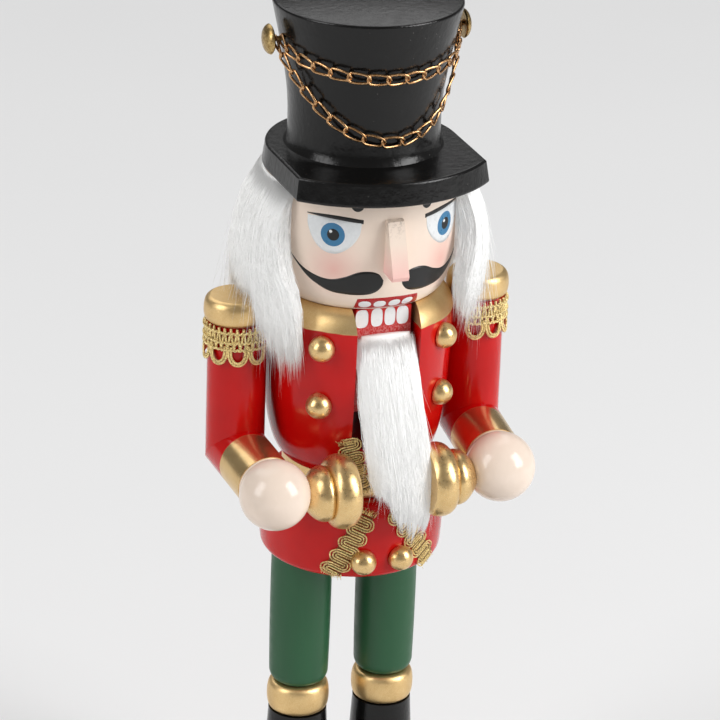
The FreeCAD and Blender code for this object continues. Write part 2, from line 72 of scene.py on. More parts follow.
class Soup:
    """Gathers the vertices and faces of one piece."""

    def __init__(self):
        self.vertices, self.faces = [], []

    def add(self, vertices, faces):
        start = len(self.vertices)
        self.vertices.extend(tuple(v) for v in vertices)
        self.faces.extend(tuple(start + i for i in face) for face in faces)

    def rings(self, vertices, sides, closed=False):
        """Skins rings of vertices. The ends are capped, unless the last ring joins the first."""
        count = len(vertices) // sides
        faces = []
        for i in range(count if closed else count - 1):
            here, there = i * sides, (i + 1) % count * sides
            for k in range(sides):
                after = (k + 1) % sides
                faces.append((here + k, here + after, there + after, there + k))
        if not closed:
            faces.append(tuple(range(sides))[::-1])
            faces.append(tuple((count - 1) * sides + k for k in range(sides)))
        self.add(vertices, faces)

    def tube(self, path, radius, sides, closed=False):
        """A round rod along a path. radius is one number or a function of the share of the path's points."""
        path = [Vector(p) for p in path]
        vertices = []
        for i, (point, side, across) in enumerate(frames(path, closed)):
            r = radius(i / (len(path) - 1)) if callable(radius) else radius
            for k in range(sides):
                turn = math.tau * k / sides
                vertices.append(point + (side * math.cos(turn) + across * math.sin(turn)) * r)
        self.rings(vertices, sides, closed)

    def cord(self, path, radius, offset, pitch, step=0.22):
        """Two threads of a radius twisted round a path."""
        for ply in plies(path, offset, pitch, step):
            self.tube(ply, radius, sides=5)

    def shell(self, front, back, wide, ringed=False):
        """Closes the space between two grids of points in rows. Rows that are ringed are closed rings."""
        count = len(front)
        high = count // wide
        faces = []
        for i in range(high - 1):
            for j in range(wide if ringed else wide - 1):
                after = (j + 1) % wide
                a, b, c, d = i * wide + j, i * wide + after, (i + 1) * wide + after, (i + 1) * wide + j
                faces += [(a, b, c, d), (count + d, count + c, count + b, count + a)]
        rim = [(high - 1) * wide + j for j in range(wide)]
        if ringed:
            faces += [tuple(range(wide))[::-1], tuple(count + j for j in range(wide))]
        else:
            rim = list(range(wide)) + [i * wide + wide - 1 for i in range(1, high - 1)] + rim[::-1]
            rim += [i * wide for i in range(high - 2, 0, -1)]
        for here, there in zip(rim, rim[1:] + rim[:1]):
            faces.append((there, here, count + here, count + there))
        self.add(front + back, faces)

    def piece(self, name, material, body="root", replaces=(), slot=None):
        return make_piece(name, self.vertices, self.faces, material, body, replaces)


def add_object(name, data):
    made = bpy.data.objects.new(name, data)
    bpy.context.scene.collection.objects.link(made)
    return made


def make_piece(name, vertices, faces, material, body="root", replaces=()):
    """A smooth-shaded mesh object that rides on a body."""
    mesh = bpy.data.meshes.new(name)
    mesh.from_pydata((np.asarray(vertices, float) * MM).tolist(), [], faces)
    mesh.materials.append(material)
    mesh.polygons.foreach_set("use_smooth", [True] * len(mesh.polygons))
    mesh.update()
    piece = add_object(name, mesh)
    if body:
        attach(piece, body)
    if replaces:
        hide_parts(*replaces)
    return piece


def tree_of(*names):
    """A search tree over the surfaces of some CAD nodes, in millimetres."""
    vertices, polygons = [], []
    for name in names:
        mesh = NODES[name].data
        start = len(vertices)
        vertices += [v.co / MM for v in mesh.vertices]
        polygons += [[start + i for i in p.vertices] for p in mesh.polygons]
    return BVHTree.FromPolygons(vertices, polygons)


def read(table, at):
    """The value between the rows of a table of (place, value)."""
    return np.interp(at, *zip(*table))


def smooth_step(t):
    t = np.clip(t, 0.0, 1.0)
    return t * t * (3 - 2 * t)


def resample(path, step):
    """The same path with points at an even spacing."""
    points = np.asarray([tuple(p) for p in path], float)
    reach = np.concatenate([[0], np.cumsum(np.linalg.norm(np.diff(points, axis=0), axis=1))])
    at = np.linspace(0, reach[-1], max(2, round(reach[-1] / step)) + 1)
    return np.stack([np.interp(at, reach, points[:, i]) for i in range(3)], axis=1)


def frames(points, closed=False):
    """Each point of a path with two directions square to the path, which turn as little as they can."""
    last = len(points) - 1
    side = Vector((0.31, 0.52, 0.79))
    for i, point in enumerate(points):
        if closed:
            ahead = points[(i + 1) % len(points)] - points[i - 1]
        else:
            ahead = points[min(i + 1, last)] - points[max(i - 1, 0)]
        ahead.normalize()
        side = (side - ahead * side.dot(ahead)).normalized()
        yield point, side, ahead.cross(side)


def plies(path, offset, pitch, step):
    """The paths of the two threads of a cord twisted round a path."""
    threads = [[], []]
    travelled = 0.0
    for point, side, across in frames([Vector(p) for p in resample(path, step)]):
        for k, thread in enumerate(threads):
            turn = math.tau * (travelled / pitch + k / len(threads))
            thread.append(point + (side * math.cos(turn) + across * math.sin(turn)) * offset)
        travelled += step
    return threads


# ---- Materials ----

class Shader:
    """A Principled material under construction: each call adds a node and returns its output."""

    def __init__(self, name, **sockets):
        self.material = bpy.data.materials.new(name)
        self.material.use_nodes = True
        self.tree = self.material.node_tree
        self.tree.nodes.clear()
        self.bsdf = self.node("ShaderNodeBsdfPrincipled")
        output = self.node("ShaderNodeOutputMaterial")
        self.tree.links.new(self.bsdf.outputs[0], output.inputs["Surface"])
        self.place = self.node("ShaderNodeTexCoord").outputs["Object"]
        for socket, value in sockets.items():
            self.set(socket.replace("_", " "), value)

    def node(self, kind, **settings):
        made = self.tree.nodes.new(kind)
        for name, value in settings.items():
            setattr(made, name, value)
        return made

    def feed(self, socket, value):
        if isinstance(value, bpy.types.NodeSocket):
            self.tree.links.new(value, socket)
        elif isinstance(value, tuple) and len(value) == 3 and len(socket.default_value) == 4:
            socket.default_value = (*value, 1.0)
        else:
            socket.default_value = value

    def set(self, socket, value):
        self.feed(self.bsdf.inputs[socket], value)

    def colour(self, value):
        self.set("Base Color", value)

    def math(self, operation, first, second=0.0):
        made = self.node("ShaderNodeMath", operation=operation)
        self.feed(made.inputs[0], first)
        self.feed(made.inputs[1], second)
        return made.outputs[0]

    def plus(self, first, second):
        return self.math("ADD", first, second)

    def times(self, first, second):
        return self.math("MULTIPLY", first, second)

    def noise(self, size, detail=2.0, roughness=0.5, stretch=1, distortion=0.0):
        """Noise with features of a size in millimetres, drawn out upright by a stretch below 1."""
        mapping = self.node("ShaderNodeMapping")
        self.feed(mapping.inputs["Vector"], self.place)
        mapping.inputs["Scale"].default_value = (1, 1, stretch)
        made = self.node("ShaderNodeTexNoise")
        self.feed(made.inputs["Vector"], mapping.outputs[0])
        made.inputs["Scale"].default_value = 1 / (size * MM)
        made.inputs["Detail"].default_value = detail
        made.inputs["Roughness"].default_value = roughness
        made.inputs["Distortion"].default_value = distortion
        return made.outputs["Fac"]

    def cells(self, size):
        """The distance from the middle of cells of a size in millimetres."""
        made = self.node("ShaderNodeTexVoronoi")
        self.feed(made.inputs["Vector"], self.place)
        made.inputs["Scale"].default_value = 1 / (size * MM)
        return made.outputs["Distance"]

    def spread(self, value, low, high, to_low=0.0, to_high=1.0):
        """Maps low..high to to_low..to_high, clamped."""
        made = self.node("ShaderNodeMapRange", clamp=True)
        for socket, number in zip(made.inputs, (value, low, high, to_low, to_high)):
            self.feed(socket, number)
        return made.outputs[0]

    def mix(self, share, first, second):
        """A colour between two, by a share."""
        made = self.node("ShaderNodeMix", data_type="RGBA")
        self.feed(made.inputs["Factor"], share)
        self.feed(made.inputs[6], first)
        self.feed(made.inputs[7], second)
        return made.outputs[2]

    def axis(self, name):
        made = self.node("ShaderNodeSeparateXYZ")
        self.feed(made.inputs[0], self.place)
        return made.outputs[name]

    def near(self, centre, radius):
        """1 at a point, falling to 0 at a radius, both in millimetres."""
        made = self.node("ShaderNodeVectorMath", operation="DISTANCE")
        self.feed(made.inputs[0], self.place)
        made.inputs[1].default_value = Vector(centre) * MM
        return self.spread(made.outputs["Value"], 0.0, radius * MM, 1.0, 0.0)

    def bump(self, height, depth, strength):
        """Raises the surface by up to a depth in millimetres."""
        made = self.node("ShaderNodeBump")
        self.feed(made.inputs["Height"], height)
        made.inputs["Distance"].default_value = depth * MM
        made.inputs["Strength"].default_value = strength
        self.set("Normal", made.outputs[0])

    def relief(self, broad, fine, share, depth, strength):
        """A bump from one noise with a share of a finer one over it."""
        self.bump(self.plus(broad, self.times(fine, share)), depth, strength)

    def gloss(self, size, low, high, detail=3):
        """Roughness that wanders between two values over patches of a size in millimetres."""
        self.set("Roughness", self.spread(self.noise(size, detail=detail), 0.3, 0.7, low, high))


RED = (0.62, 0.004, 0.0035)
RED_DEEP = (0.42, 0.0024, 0.002)
GOLD = (0.82, 0.57, 0.26)
GOLD_DARK = (0.58, 0.35, 0.12)
SKIN = (0.86, 0.72, 0.61)
BLUSH = (0.80, 0.34, 0.30)
BLACK = (0.0040, 0.0039, 0.0038)
GREEN = (0.022, 0.105, 0.042)
GREEN_DEEP = (0.013, 0.070, 0.028)

COLLAR_DEPTH = 7.6      # down from the torso's top
SLOT_HALF = 12.1        # half the width of the jaw slot
SLOT_FLOOR = 192.5
ELBOW_RISE = 3.2        # of the elbow over the hand
SLEEVE_LENGTH = 11.8    # from the elbow's middle to the cuff
CHEEK_ANGLE, CHEEK_HEIGHT, CHEEK_SIZE = 36, 263, 15


def lacquer_relief(shader, depth=0.05):
    """Brushed lacquer: soft orange peel over faint vertical grain."""
    peel = shader.noise(3.2, detail=1.5)
    grain = shader.noise(1.1, detail=3.0, stretch=0.06)
    shader.relief(peel, grain, 0.22, depth, 0.55)


def red_colour(shader):
    return shader.mix(shader.noise(14, detail=3), RED_DEEP, RED)


def gold_colour(shader):
    """Bronze-powder paint: flakes over a slightly uneven coat."""
    cloud = shader.spread(shader.noise(5, detail=4), 0.3, 0.75)
    flakes = shader.spread(shader.noise(0.28, detail=1.0), 0.38, 0.7)
    coat = shader.mix(cloud, GOLD_DARK, GOLD)
    worn = shader.mix(0.55, coat, GOLD)
    return shader.mix(shader.times(flakes, 0.45), worn, (0.94, 0.74, 0.42))


def red_paint():
    shader = Shader("red_lacquer", Specular_IOR_Level=0.28)
    shader.colour(red_colour(shader))
    shader.gloss(6, 0.10, 0.20)
    lacquer_relief(shader)
    return shader.material


def coat_paint():
    """Red lacquer with a gold collar above the collar line, and painted shade, a near-black red, inside the
    jaw slot.
    """
    shader = Shader("red_coat_gold_collar", Specular_IOR_Level=0.28)
    collar_line = node_box("torso")[1].z - COLLAR_DEPTH
    wobble = shader.times(shader.math("SUBTRACT", shader.noise(9), 0.5), 1.4 * MM)
    height = shader.plus(shader.axis("Z"), wobble)
    collar = shader.spread(height, (collar_line - 0.15) * MM, (collar_line + 0.15) * MM)
    # painted shade: the walls of the jaw slot are darkened as if shade fell in the narrow recess
    inside = shader.spread(shader.math("ABSOLUTE", shader.axis("X")), SLOT_HALF * MM,
                           (SLOT_HALF + 0.12) * MM, 1.0, 0.0)
    low = shader.spread(shader.axis("Z"), SLOT_FLOOR * MM, (SLOT_FLOOR + 0.7) * MM)
    inside = shader.times(inside, low)
    # the near-black red is the slot's painted shade
    red = shader.mix(inside, red_colour(shader), (0.10, 0.002, 0.002))
    collar = shader.times(collar, shader.math("SUBTRACT", 1.0, inside))
    shader.colour(shader.mix(collar, red, gold_colour(shader)))
    shader.set("Metallic", shader.times(collar, 0.9))
    shader.set("Roughness", shader.spread(collar, 0.0, 1.0, 0.14, 0.38))
    lacquer_relief(shader)
    return shader.material


def sleeve_paint(side):
    """A forearm: red sleeve, then a gold cuff towards the wrist."""
    shader = Shader(f"red_sleeve_gold_cuff_{side}", Specular_IOR_Level=0.28)
    low, high = node_box(f"hand_{side}")
    hand = (low + high) / 2
    shoulder = node_box(f"upper_arm_{side}")
    elbow = Vector(((shoulder[0].x + shoulder[1].x) / 2, 0, hand.z + ELBOW_RISE))
    along = (hand - elbow).normalized()
    made = shader.node("ShaderNodeVectorMath", operation="DOT_PRODUCT")
    shader.feed(made.inputs[0], shader.place)
    made.inputs[1].default_value = along
    reach = shader.math("SUBTRACT", made.outputs["Value"], elbow.dot(along) * MM)
    cuff = shader.spread(reach, SLEEVE_LENGTH * MM, (SLEEVE_LENGTH + 0.3) * MM)
    shader.colour(shader.mix(cuff, red_colour(shader), gold_colour(shader)))
    shader.set("Metallic", shader.times(cuff, 0.95))
    shader.set("Roughness", shader.spread(cuff, 0.0, 1.0, 0.14, 0.26))
    lacquer_relief(shader)
    return shader.material


def gold_paint(name="gold_bronze_paint", roughness=0.30, turned=False):
    shader = Shader(name, Metallic=0.92)
    shader.colour(gold_colour(shader))
    shader.set("Roughness", shader.spread(shader.noise(1.2, detail=3), 0.25, 0.75,
                                          roughness - 0.07, roughness + 0.10))
    rings = shader.noise(1.6, detail=3, stretch=6 if turned else 1)
    specks = shader.noise(0.5, detail=2)
    shader.relief(rings, specks, 0.4, 0.05, 0.6)
    return shader.material


def black_paint():
    """Black gloss brushed along the wood, with a little dust caught in it."""
    shader = Shader("black_gloss", Specular_IOR_Level=0.32)
    dust = shader.spread(shader.cells(1.9), 0.0, 0.10, 1.0, 0.0)
    patches = shader.spread(shader.noise(9, detail=2), 0.52, 0.62)
    dust = shader.times(dust, patches)
    base = shader.mix(shader.noise(10, detail=3), BLACK, (0.0065, 0.0062, 0.006))
    shader.colour(shader.mix(shader.times(dust, 0.6), base, (0.45, 0.43, 0.40)))
    shader.gloss(4, 0.15, 0.27)
    strokes = shader.noise(0.9, detail=3, stretch=0.22, distortion=0.6)
    peel = shader.noise(2.4, detail=2)
    shader.relief(peel, strokes, 0.6, 0.16, 0.65)
    return shader.material


def green_paint():
    shader = Shader("green_satin", Specular_IOR_Level=0.4)
    shader.colour(shader.mix(shader.noise(12, detail=3, stretch=0.3), GREEN_DEEP, GREEN))
    shader.gloss(4, 0.34, 0.46)
    lacquer_relief(shader, 0.06)
    return shader.material


def skin_colour(shader):
    return shader.mix(shader.spread(shader.noise(11, detail=3), 0.3, 0.7), (0.82, 0.68, 0.57), SKIN)


def skin_relief(shader):
    peel = shader.noise(2.6, detail=2)
    grain = shader.noise(0.8, detail=3, stretch=0.12)
    shader.relief(peel, grain, 0.4, 0.05, 0.5)


def face_paint():
    """Flesh paint with a soft blush on each cheek."""
    shader = Shader("flesh_face", Roughness=0.34, Specular_IOR_Level=0.4)
    colour = skin_colour(shader)
    for angle in (-CHEEK_ANGLE, CHEEK_ANGLE):
        centre = on_round(angle, CHEEK_HEIGHT, 34.6)
        blush = shader.math("POWER", shader.near(centre, CHEEK_SIZE), 1.5)
        colour = shader.mix(shader.times(blush, 0.62), colour, BLUSH)
    shader.colour(colour)
    skin_relief(shader)
    return shader.material


def nose_paint():
    """Flesh paint, pink at the tip and rubbed grey along the top of the wedge."""
    shader = Shader("flesh_nose", Roughness=0.4, Specular_IOR_Level=0.4)
    low, high = node_box("nose")
    tip = shader.spread(shader.axis("Z"), (low.z - 1) * MM, (low.z + 13) * MM, 1.0, 0.0)
    tip = shader.times(tip, 0.62)
    colour = shader.mix(tip, skin_colour(shader), (0.88, 0.36, 0.36))
    top = shader.spread(shader.axis("Z"), (high.z - 7) * MM, high.z * MM)
    rubbed = shader.spread(shader.noise(1.3, detail=4, roughness=0.7), 0.50, 0.68)
    rubbed = shader.times(rubbed, shader.times(top, 0.7))
    shader.colour(shader.mix(rubbed, colour, (0.30, 0.22, 0.17)))
    skin_relief(shader)
    return shader.material


def hand_paint():
    """Flesh gloss with a few scuffs."""
    shader = Shader("flesh_hands", Roughness=0.16, Specular_IOR_Level=0.45)
    marks = shader.spread(shader.noise(1.0, detail=3, roughness=0.7, distortion=1.2), 0.70, 0.76)
    seldom = shader.spread(shader.noise(6, detail=1), 0.55, 0.62)
    marks = shader.times(shader.times(marks, seldom), 0.6)
    shader.colour(shader.mix(marks, skin_colour(shader), (0.25, 0.17, 0.12)))
    skin_relief(shader)
    return shader.material


def line_paint(name, colour, roughness=0.3, variation=0.15):
    """Enamel of the painted features, a little uneven."""
    shader = Shader(name, Specular_IOR_Level=0.4)
    darker = tuple(c * (1 - variation) for c in colour)
    shader.colour(shader.mix(shader.noise(1.5, detail=3), darker, colour))
    shader.gloss(2.5, roughness - 0.05, roughness + 0.08, detail=2)
    shader.bump(shader.noise(0.9, detail=2), 0.03, 0.5)
    return shader.material


def jaw_paint():
    """The jaw: red, scuffed pale where the beard is glued under the teeth."""
    shader = Shader("red_jaw", Specular_IOR_Level=0.4)
    low, high = node_box("jaw_lever")
    front = shader.spread(shader.axis("Y"), (low.y + 0.4) * MM, (low.y + 1.0) * MM, 1.0, 0.0)
    band = shader.spread(shader.axis("Z"), (high.z - 5.5) * MM, (high.z - 8.5) * MM)
    scuffs = shader.spread(shader.noise(0.7, detail=4, roughness=0.7), 0.44, 0.6)
    scuffs = shader.times(scuffs, shader.times(band, front))
    shader.colour(shader.mix(shader.times(scuffs, 0.55), red_colour(shader),
                                        (0.75, 0.40, 0.38)))
    shader.set("Roughness", shader.spread(scuffs, 0.0, 1.0, 0.28, 0.7))
    lacquer_relief(shader)
    return shader.material


def wood_paint():
    """Pale turned beech, grain along the dowels."""
    shader = Shader("bare_beech", Roughness=0.55)
    grain = shader.noise(1.4, detail=4, stretch=0.08, distortion=0.4)
    shader.colour(shader.mix(grain, (0.42, 0.25, 0.12), (0.66, 0.45, 0.26)))
    shader.bump(grain, 0.08, 0.5)
    return shader.material


def metal(name, light, dark, roughness):
    """Plated or drawn metal, darker in its low spots."""
    shader = Shader(name, Metallic=1.0)
    patina = shader.spread(shader.noise(0.9, detail=3), 0.35, 0.7)
    shader.colour(shader.mix(patina, dark, light))
    shader.gloss(1.5, roughness - 0.06, roughness + 0.1)
    shader.bump(shader.noise(0.5, detail=2), 0.03, 0.5)
    return shader.material


def thread(name, light, dark):
    """Metallised thread: painted highlights on the filaments and painted shade in the gaps between them,
    mixed by noise.
    """
    shader = Shader(name, Metallic=0.45)
    # painted light: the colour runs by noise from a painted shade (dark) to a painted highlight (light), and
    # the roughness follows it
    painted_glints_and_shade = shader.spread(shader.noise(0.42, detail=2, roughness=0.55), 0.33, 0.52)
    shader.colour(shader.mix(painted_glints_and_shade, dark, light))
    shader.set("Roughness", shader.spread(painted_glints_and_shade, 0.0, 1.0, 0.55, 0.28))
    shader.bump(shader.noise(0.3, detail=1), 0.12, 0.9)
    return shader.material


def fur(name, root, tip):
    """White synthetic fur: near-white fibres, some a touch greyer, with a faint white glow that is painted
    light in place of light scattered through the fur.
    """
    # the white emission is painted light: a faint glow standing in for light scattered between the fibres
    shader = Shader(name, Roughness=0.6, Specular_IOR_Level=0.35, Emission_Color=(1.0, 0.995, 0.985, 1.0),
                    Emission_Strength=0.15)
    strands = shader.noise(1.3, detail=4, stretch=0.12)
    shader.colour(shader.mix(shader.spread(strands, 0.3, 0.7), root, tip))
    return shader.material


def on_round(angle, height, radius):
    """The point at an angle from the front, a height and a radius."""
    turn = math.radians(angle)
    return Vector((radius * math.sin(turn), -radius * math.cos(turn), height))


def finish(material, *names):
    """Gives CAD nodes a material."""
    for name in names:
        for material_slot in NODES[name].material_slots:
            material_slot.material = material


def both(*names):
    return [f"{name}_{side}" for name in names for side in ("right", "left")]


EYE_WHITE = line_paint("eye_white", (0.80, 0.82, 0.83))
EYE_BLUE = line_paint("iris_blue", (0.045, 0.20, 0.38))
FEATURE_BLACK = line_paint("feature_black", (0.010, 0.010, 0.010), roughness=0.34)
LIP_RED = line_paint("lip_red", (0.42, 0.010, 0.012), roughness=0.28)
TOOTH_WHITE = line_paint("tooth_white", (0.82, 0.82, 0.82), variation=0.06)
# both fur materials glow faintly, which is painted light
FUR = fur("white_fur", (0.86, 0.86, 0.85), (0.90, 0.90, 0.895))
FUR_UNDER = fur("white_fur_under", (0.86, 0.855, 0.84), (0.93, 0.925, 0.915))
# the gold thread's light and dark colours are a painted highlight and a painted shade
BRAID = thread("gold_gimp", (1.0, 0.80, 0.37), (0.22, 0.115, 0.025))
# the backing's dark colours are painted shade, standing in for the shade between the braid's cords
BACKING_SHADE = thread("gimp_backing_shade", (0.26, 0.15, 0.05), (0.05, 0.025, 0.01))
CHAIN = metal("rose_gilt_wire", (0.80, 0.50, 0.26), (0.42, 0.21, 0.08), 0.24)

finish(red_paint(), "skirt", *both("upper_arm"))
finish(coat_paint(), "torso")
for SIDE in ("right", "left"):
    finish(sleeve_paint(SIDE), f"forearm_{SIDE}")
finish(jaw_paint(), "jaw_lever")
finish(gold_paint(), "belt", "torso_buttons", "skirt_buttons",
       *both("cymbal_knob", "cymbal_bell"))
finish(gold_paint("gold_turned", 0.38, turned=True), *both("boot_cuff", "shoulder_cap"))
finish(black_paint(), "hat_brim", "hat_crown", "base_plinth", *both("boot", "toe"))
finish(green_paint(), *both("leg"))
finish(face_paint(), "head")
finish(nose_paint(), "nose")
finish(hand_paint(), *both("hand"))
finish(metal("brass_tack", (0.62, 0.45, 0.20), (0.30, 0.19, 0.07), 0.3), *both("hat_tack"))
finish(metal("steel_pin", (0.60, 0.60, 0.60), (0.42, 0.42, 0.42), 0.3), "jaw_pivot_pin")
finish(wood_paint(), "base_dowels", "boot_dowels", "leg_dowels", "waist_dowel", "head_dowels",
       "hat_dowel", "shoulder_dowels", "wrist_dowels")


# ---- Painted face ----

HEAD_TREE = tree_of("head")
JAW_FRONT = node_box("jaw_lever")[0].y
JAW_TOP = node_box("jaw_lever")[1].z
PAINT_BACK = -0.12      # the coats' backs lie inside the wood
THIN_EDGE = 0.3         # the share of a coat's thickness that is left at its edge


def on_head(angle, height, lift):
    """A point over the head's surface."""
    outside = on_round(angle, height, 60)
    inward = Vector((-outside.x, -outside.y, 0)).normalized()
    hit = HEAD_TREE.ray_cast(outside, inward)[0]
    return hit - inward * lift


def on_jaw(x, height, lift):
    """A point before the jaw's flat front."""
    return Vector((x, JAW_FRONT - lift, height))


def painted(name, grids, place, lift, material, body="root", slot=None, discs=False):
    """Thin closed coats of paint. Each grid is rows of (across, height) points on the surface; the rows
    of a disc are closed rings from its middle outwards."""
    soup = Soup()
    for rows in grids:
        high, wide = len(rows), len(rows[0])
        front, back = [], []
        for i, row in enumerate(rows):
            for j, (u, v) in enumerate(row):
                edge = i == high - 1 or (not discs and (i == 0 or j in (0, wide - 1)))
                front.append(place(u, v, lift * (THIN_EDGE if edge else 1.0)))
                back.append(place(u, v, PAINT_BACK))
        soup.shell(front, back, wide, discs)
    soup.piece(name, material, body, slot=slot)


def disc(centre, outline, rings=7, spokes=40):
    """Closed rings from near a centre out to an outline, which maps a turn from 0 to 1 to a point."""
    rows = []
    for i in range(rings + 1):
        share = 0.04 + 0.96 * i / rings
        row = []
        for j in range(spokes):
            u, v = outline(j / spokes)
            row.append((centre[0] + (u - centre[0]) * share, centre[1] + (v - centre[1]) * share))
        rows.append(row)
    return rows


def oval(u, v, half_u, half_v, power=2.0):
    """A disc with a rounded outline; a power above 2 squares it off."""
    def outline(turn):
        angle = math.tau * turn
        c, s = math.cos(angle), math.sin(angle)
        across = half_u * math.copysign(abs(c) ** (2 / power), c)
        up = half_v * math.copysign(abs(s) ** (2 / power), s)
        return (u + across, v + up)
    return disc((u, v), outline)


def spline(points, count):
    """A smooth line through a few points (Catmull-Rom)."""
    pts = [np.array(p, float) for p in points]
    pts = [2 * pts[0] - pts[1]] + pts + [2 * pts[-1] - pts[-2]]
    spans = len(pts) - 3
    line = []
    for i in range(count + 1):
        at = min(i / count * spans, spans - 1e-9)
        k = int(at)
        t = at - k
        a, b, c, d = pts[k:k + 4]
        line.append(0.5 * (2 * b + (c - a) * t + (2 * a - 5 * b + 4 * c - d) * t * t
                           + (3 * b - a - 3 * c + d) * t ** 3))
    return [tuple(p) for p in line]


def band(upper, lower, along=48, across=8):
    """Rows between an upper and a lower line."""
    top, bottom = spline(upper, along), spline(lower, along)
    rows = []
    for j in range(across + 1):
        share = j / across
        rows.append([(a[0] + (b[0] - a[0]) * share, a[1] + (b[1] - a[1]) * share)
                     for a, b in zip(top, bottom)])
    return rows


HEAD_MM_PER_DEGREE = 35.2 * math.pi / 180
EYE_ANGLE, EYE_HEIGHT = 36.9, 276.5
IRIS_R, PUPIL_R = 4.8, 2.45


# Upper and lower lines of the painted features on the figure's left.
# The white of an eye is flat under the brow and round below, and wider away from the nose.
EYE = ([(20.2, 281.7), (28, 282.3), (36, 282.6), (44, 282.7), (53, 282.4)],
       [(20.2, 281.0), (21.5, 276.6), (26.6, 272.2), (34.4, 269.4), (42.4, 269.9), (48.8, 273.4),
        (52.6, 278.6), (53, 282.0)])
# Half of the moustache runs from a blunt end by the nose to a fine tip on the cheek.
MOUSTACHE = ([(6.0, 259.4), (9.2, 262.0), (14.6, 263.0), (21.5, 262.6), (29.7, 260.4), (38.3, 259.0),
              (47.3, 259.6), (57.1, 261.9), (65.5, 265.9)],
             [(6.0, 259.0), (6.6, 257.0), (9.6, 254.9), (14.5, 253.7), (21.5, 253.3), (29.5, 253.4),
              (38.7, 254.0), (46.5, 255.9), (54.5, 258.9), (65.5, 265.6)])
BROW = ([(19.2, 282.8), (28, 283.5), (36, 283.8), (45, 283.7), (53.4, 283.2)],
        [(19.2, 281.3), (28, 281.95), (36, 282.4), (45, 282.7), (53.4, 282.95)])


def on_side(lines, sign, **steps):
    """The rows between two lines, for the figure's left (1) or right (-1)."""
    return band(*([(sign * u, v) for u, v in line] for line in lines), **steps)


for SIDE, SIGN in (("right", -1), ("left", 1)):
    painted(f"eye_white_{SIDE}", [on_side(EYE, SIGN)], on_head, 0.10, EYE_WHITE)
    CENTRE = (SIGN * EYE_ANGLE, EYE_HEIGHT)
    painted(f"iris_{SIDE}", [oval(*CENTRE, IRIS_R / HEAD_MM_PER_DEGREE, IRIS_R)], on_head, 0.15, EYE_BLUE,
            discs=True)
    painted(f"pupil_{SIDE}", [oval(CENTRE[0] + 0.3, CENTRE[1], PUPIL_R / HEAD_MM_PER_DEGREE, PUPIL_R)],
            on_head, 0.20, FEATURE_BLACK, discs=True)
    painted(f"eye_light_{SIDE}", [oval(CENTRE[0] - 1.2, CENTRE[1] + 1.2, 1.05, 0.65)], on_head, 0.25,
            EYE_WHITE, discs=True)
    painted(f"brow_{SIDE}", [on_side(BROW, SIGN, across=4)], on_head, 0.16, FEATURE_BLACK,
            slot="black_paint")
    painted(f"moustache_{SIDE}", [on_side(MOUSTACHE, SIGN, along=64)], on_head, 0.13, FEATURE_BLACK,
            slot="black_paint")

painted("hairline_scallops", [oval(-22.8, 288.5, 4.0, 2.7), oval(20.5, 288.0, 4.0, 3.1)], on_head, 0.14,
        FEATURE_BLACK, slot="black_paint", discs=True)
painted("upper_lip", [band([(-21.2, 251.6), (-7, 252.0), (7, 252.0), (20.0, 251.6)],
                           [(-24.0, 247.0), (-8, 246.9), (8, 246.9), (23.0, 247.0)])],
        on_head, 0.10, LIP_RED, slot="red_paint")
painted("upper_teeth", [oval(u, 249.1, 4.3, 1.55, power=2.3) for u in (-16.4, -6.4, 3.8, 13.4)],
        on_head, 0.20, TOOTH_WHITE, discs=True)
LOWER_TEETH = [(-8.3, 2.45), (-2.6, 2.25), (2.4, 2.1), (7.2, 2.3)]
painted("lower_teeth", [oval(x, JAW_TOP - 3.65, half, 3.5, power=3.0) for x, half in LOWER_TEETH],
        on_jaw, 0.14, TOOTH_WHITE, body="jaw", discs=True)


# ---- Hair and beard ----

HEAD_R = node_box("head")[1].x
FIBRE_POINTS = 7
HAIR_TOP = 291.0        # where the hair is glued under the brim
SHOULDER_CLEAR = 246.6  # the hair over a shoulder ends above it, as the hair at the back does
LEVER_CLEAR = 255.0     # above the raised lever
LEVER_HALF = 14.5       # half the width that is kept clear over the lever
STRAY_DROP = 14.0


def strand_mesh(paths, radii):
    """Fibres with a pointed root and tip: paths is (fibres, points, 3) and radii is (fibres, points)."""
    fibres, points = paths.shape[:2]
    rings = points - 2
    ahead = np.gradient(paths, axis=1)
    ahead /= np.linalg.norm(ahead, axis=2, keepdims=True) + 1e-9
    side = np.cross(ahead, np.array([0.37, 0.61, 0.2]))
    side /= np.linalg.norm(side, axis=2, keepdims=True) + 1e-9
    across = np.cross(ahead, side)
    vertices = [paths[:, :1]]
    for i in range(1, points - 1):
        for k in range(3):
            turn = math.tau * k / 3
            offset = (side[:, i] * math.cos(turn) + across[:, i] * math.sin(turn)) * radii[:, i, None]
            vertices.append((paths[:, i] + offset)[:, None])
    vertices.append(paths[:, -1:])
    vertices = np.concatenate(vertices, axis=1)
    faces = [(0, 1 + (k + 1) % 3, 1 + k) for k in range(3)]
    for i in range(rings - 1):
        for k in range(3):
            here, there, after = 1 + 3 * i, 4 + 3 * i, (k + 1) % 3
            faces += [(here + k, here + after, there + after), (here + k, there + after, there + k)]
    end = 1 + 3 * rings
    faces += [(end - 3 + k, end - 3 + (k + 1) % 3, end) for k in range(3)]
    per_fibre = end + 1
    starts = np.arange(fibres) * per_fibre
    faces = (np.array(faces)[None] + starts[:, None, None]).reshape(-1, 3)
    return vertices.reshape(-1, 3), faces.tolist()


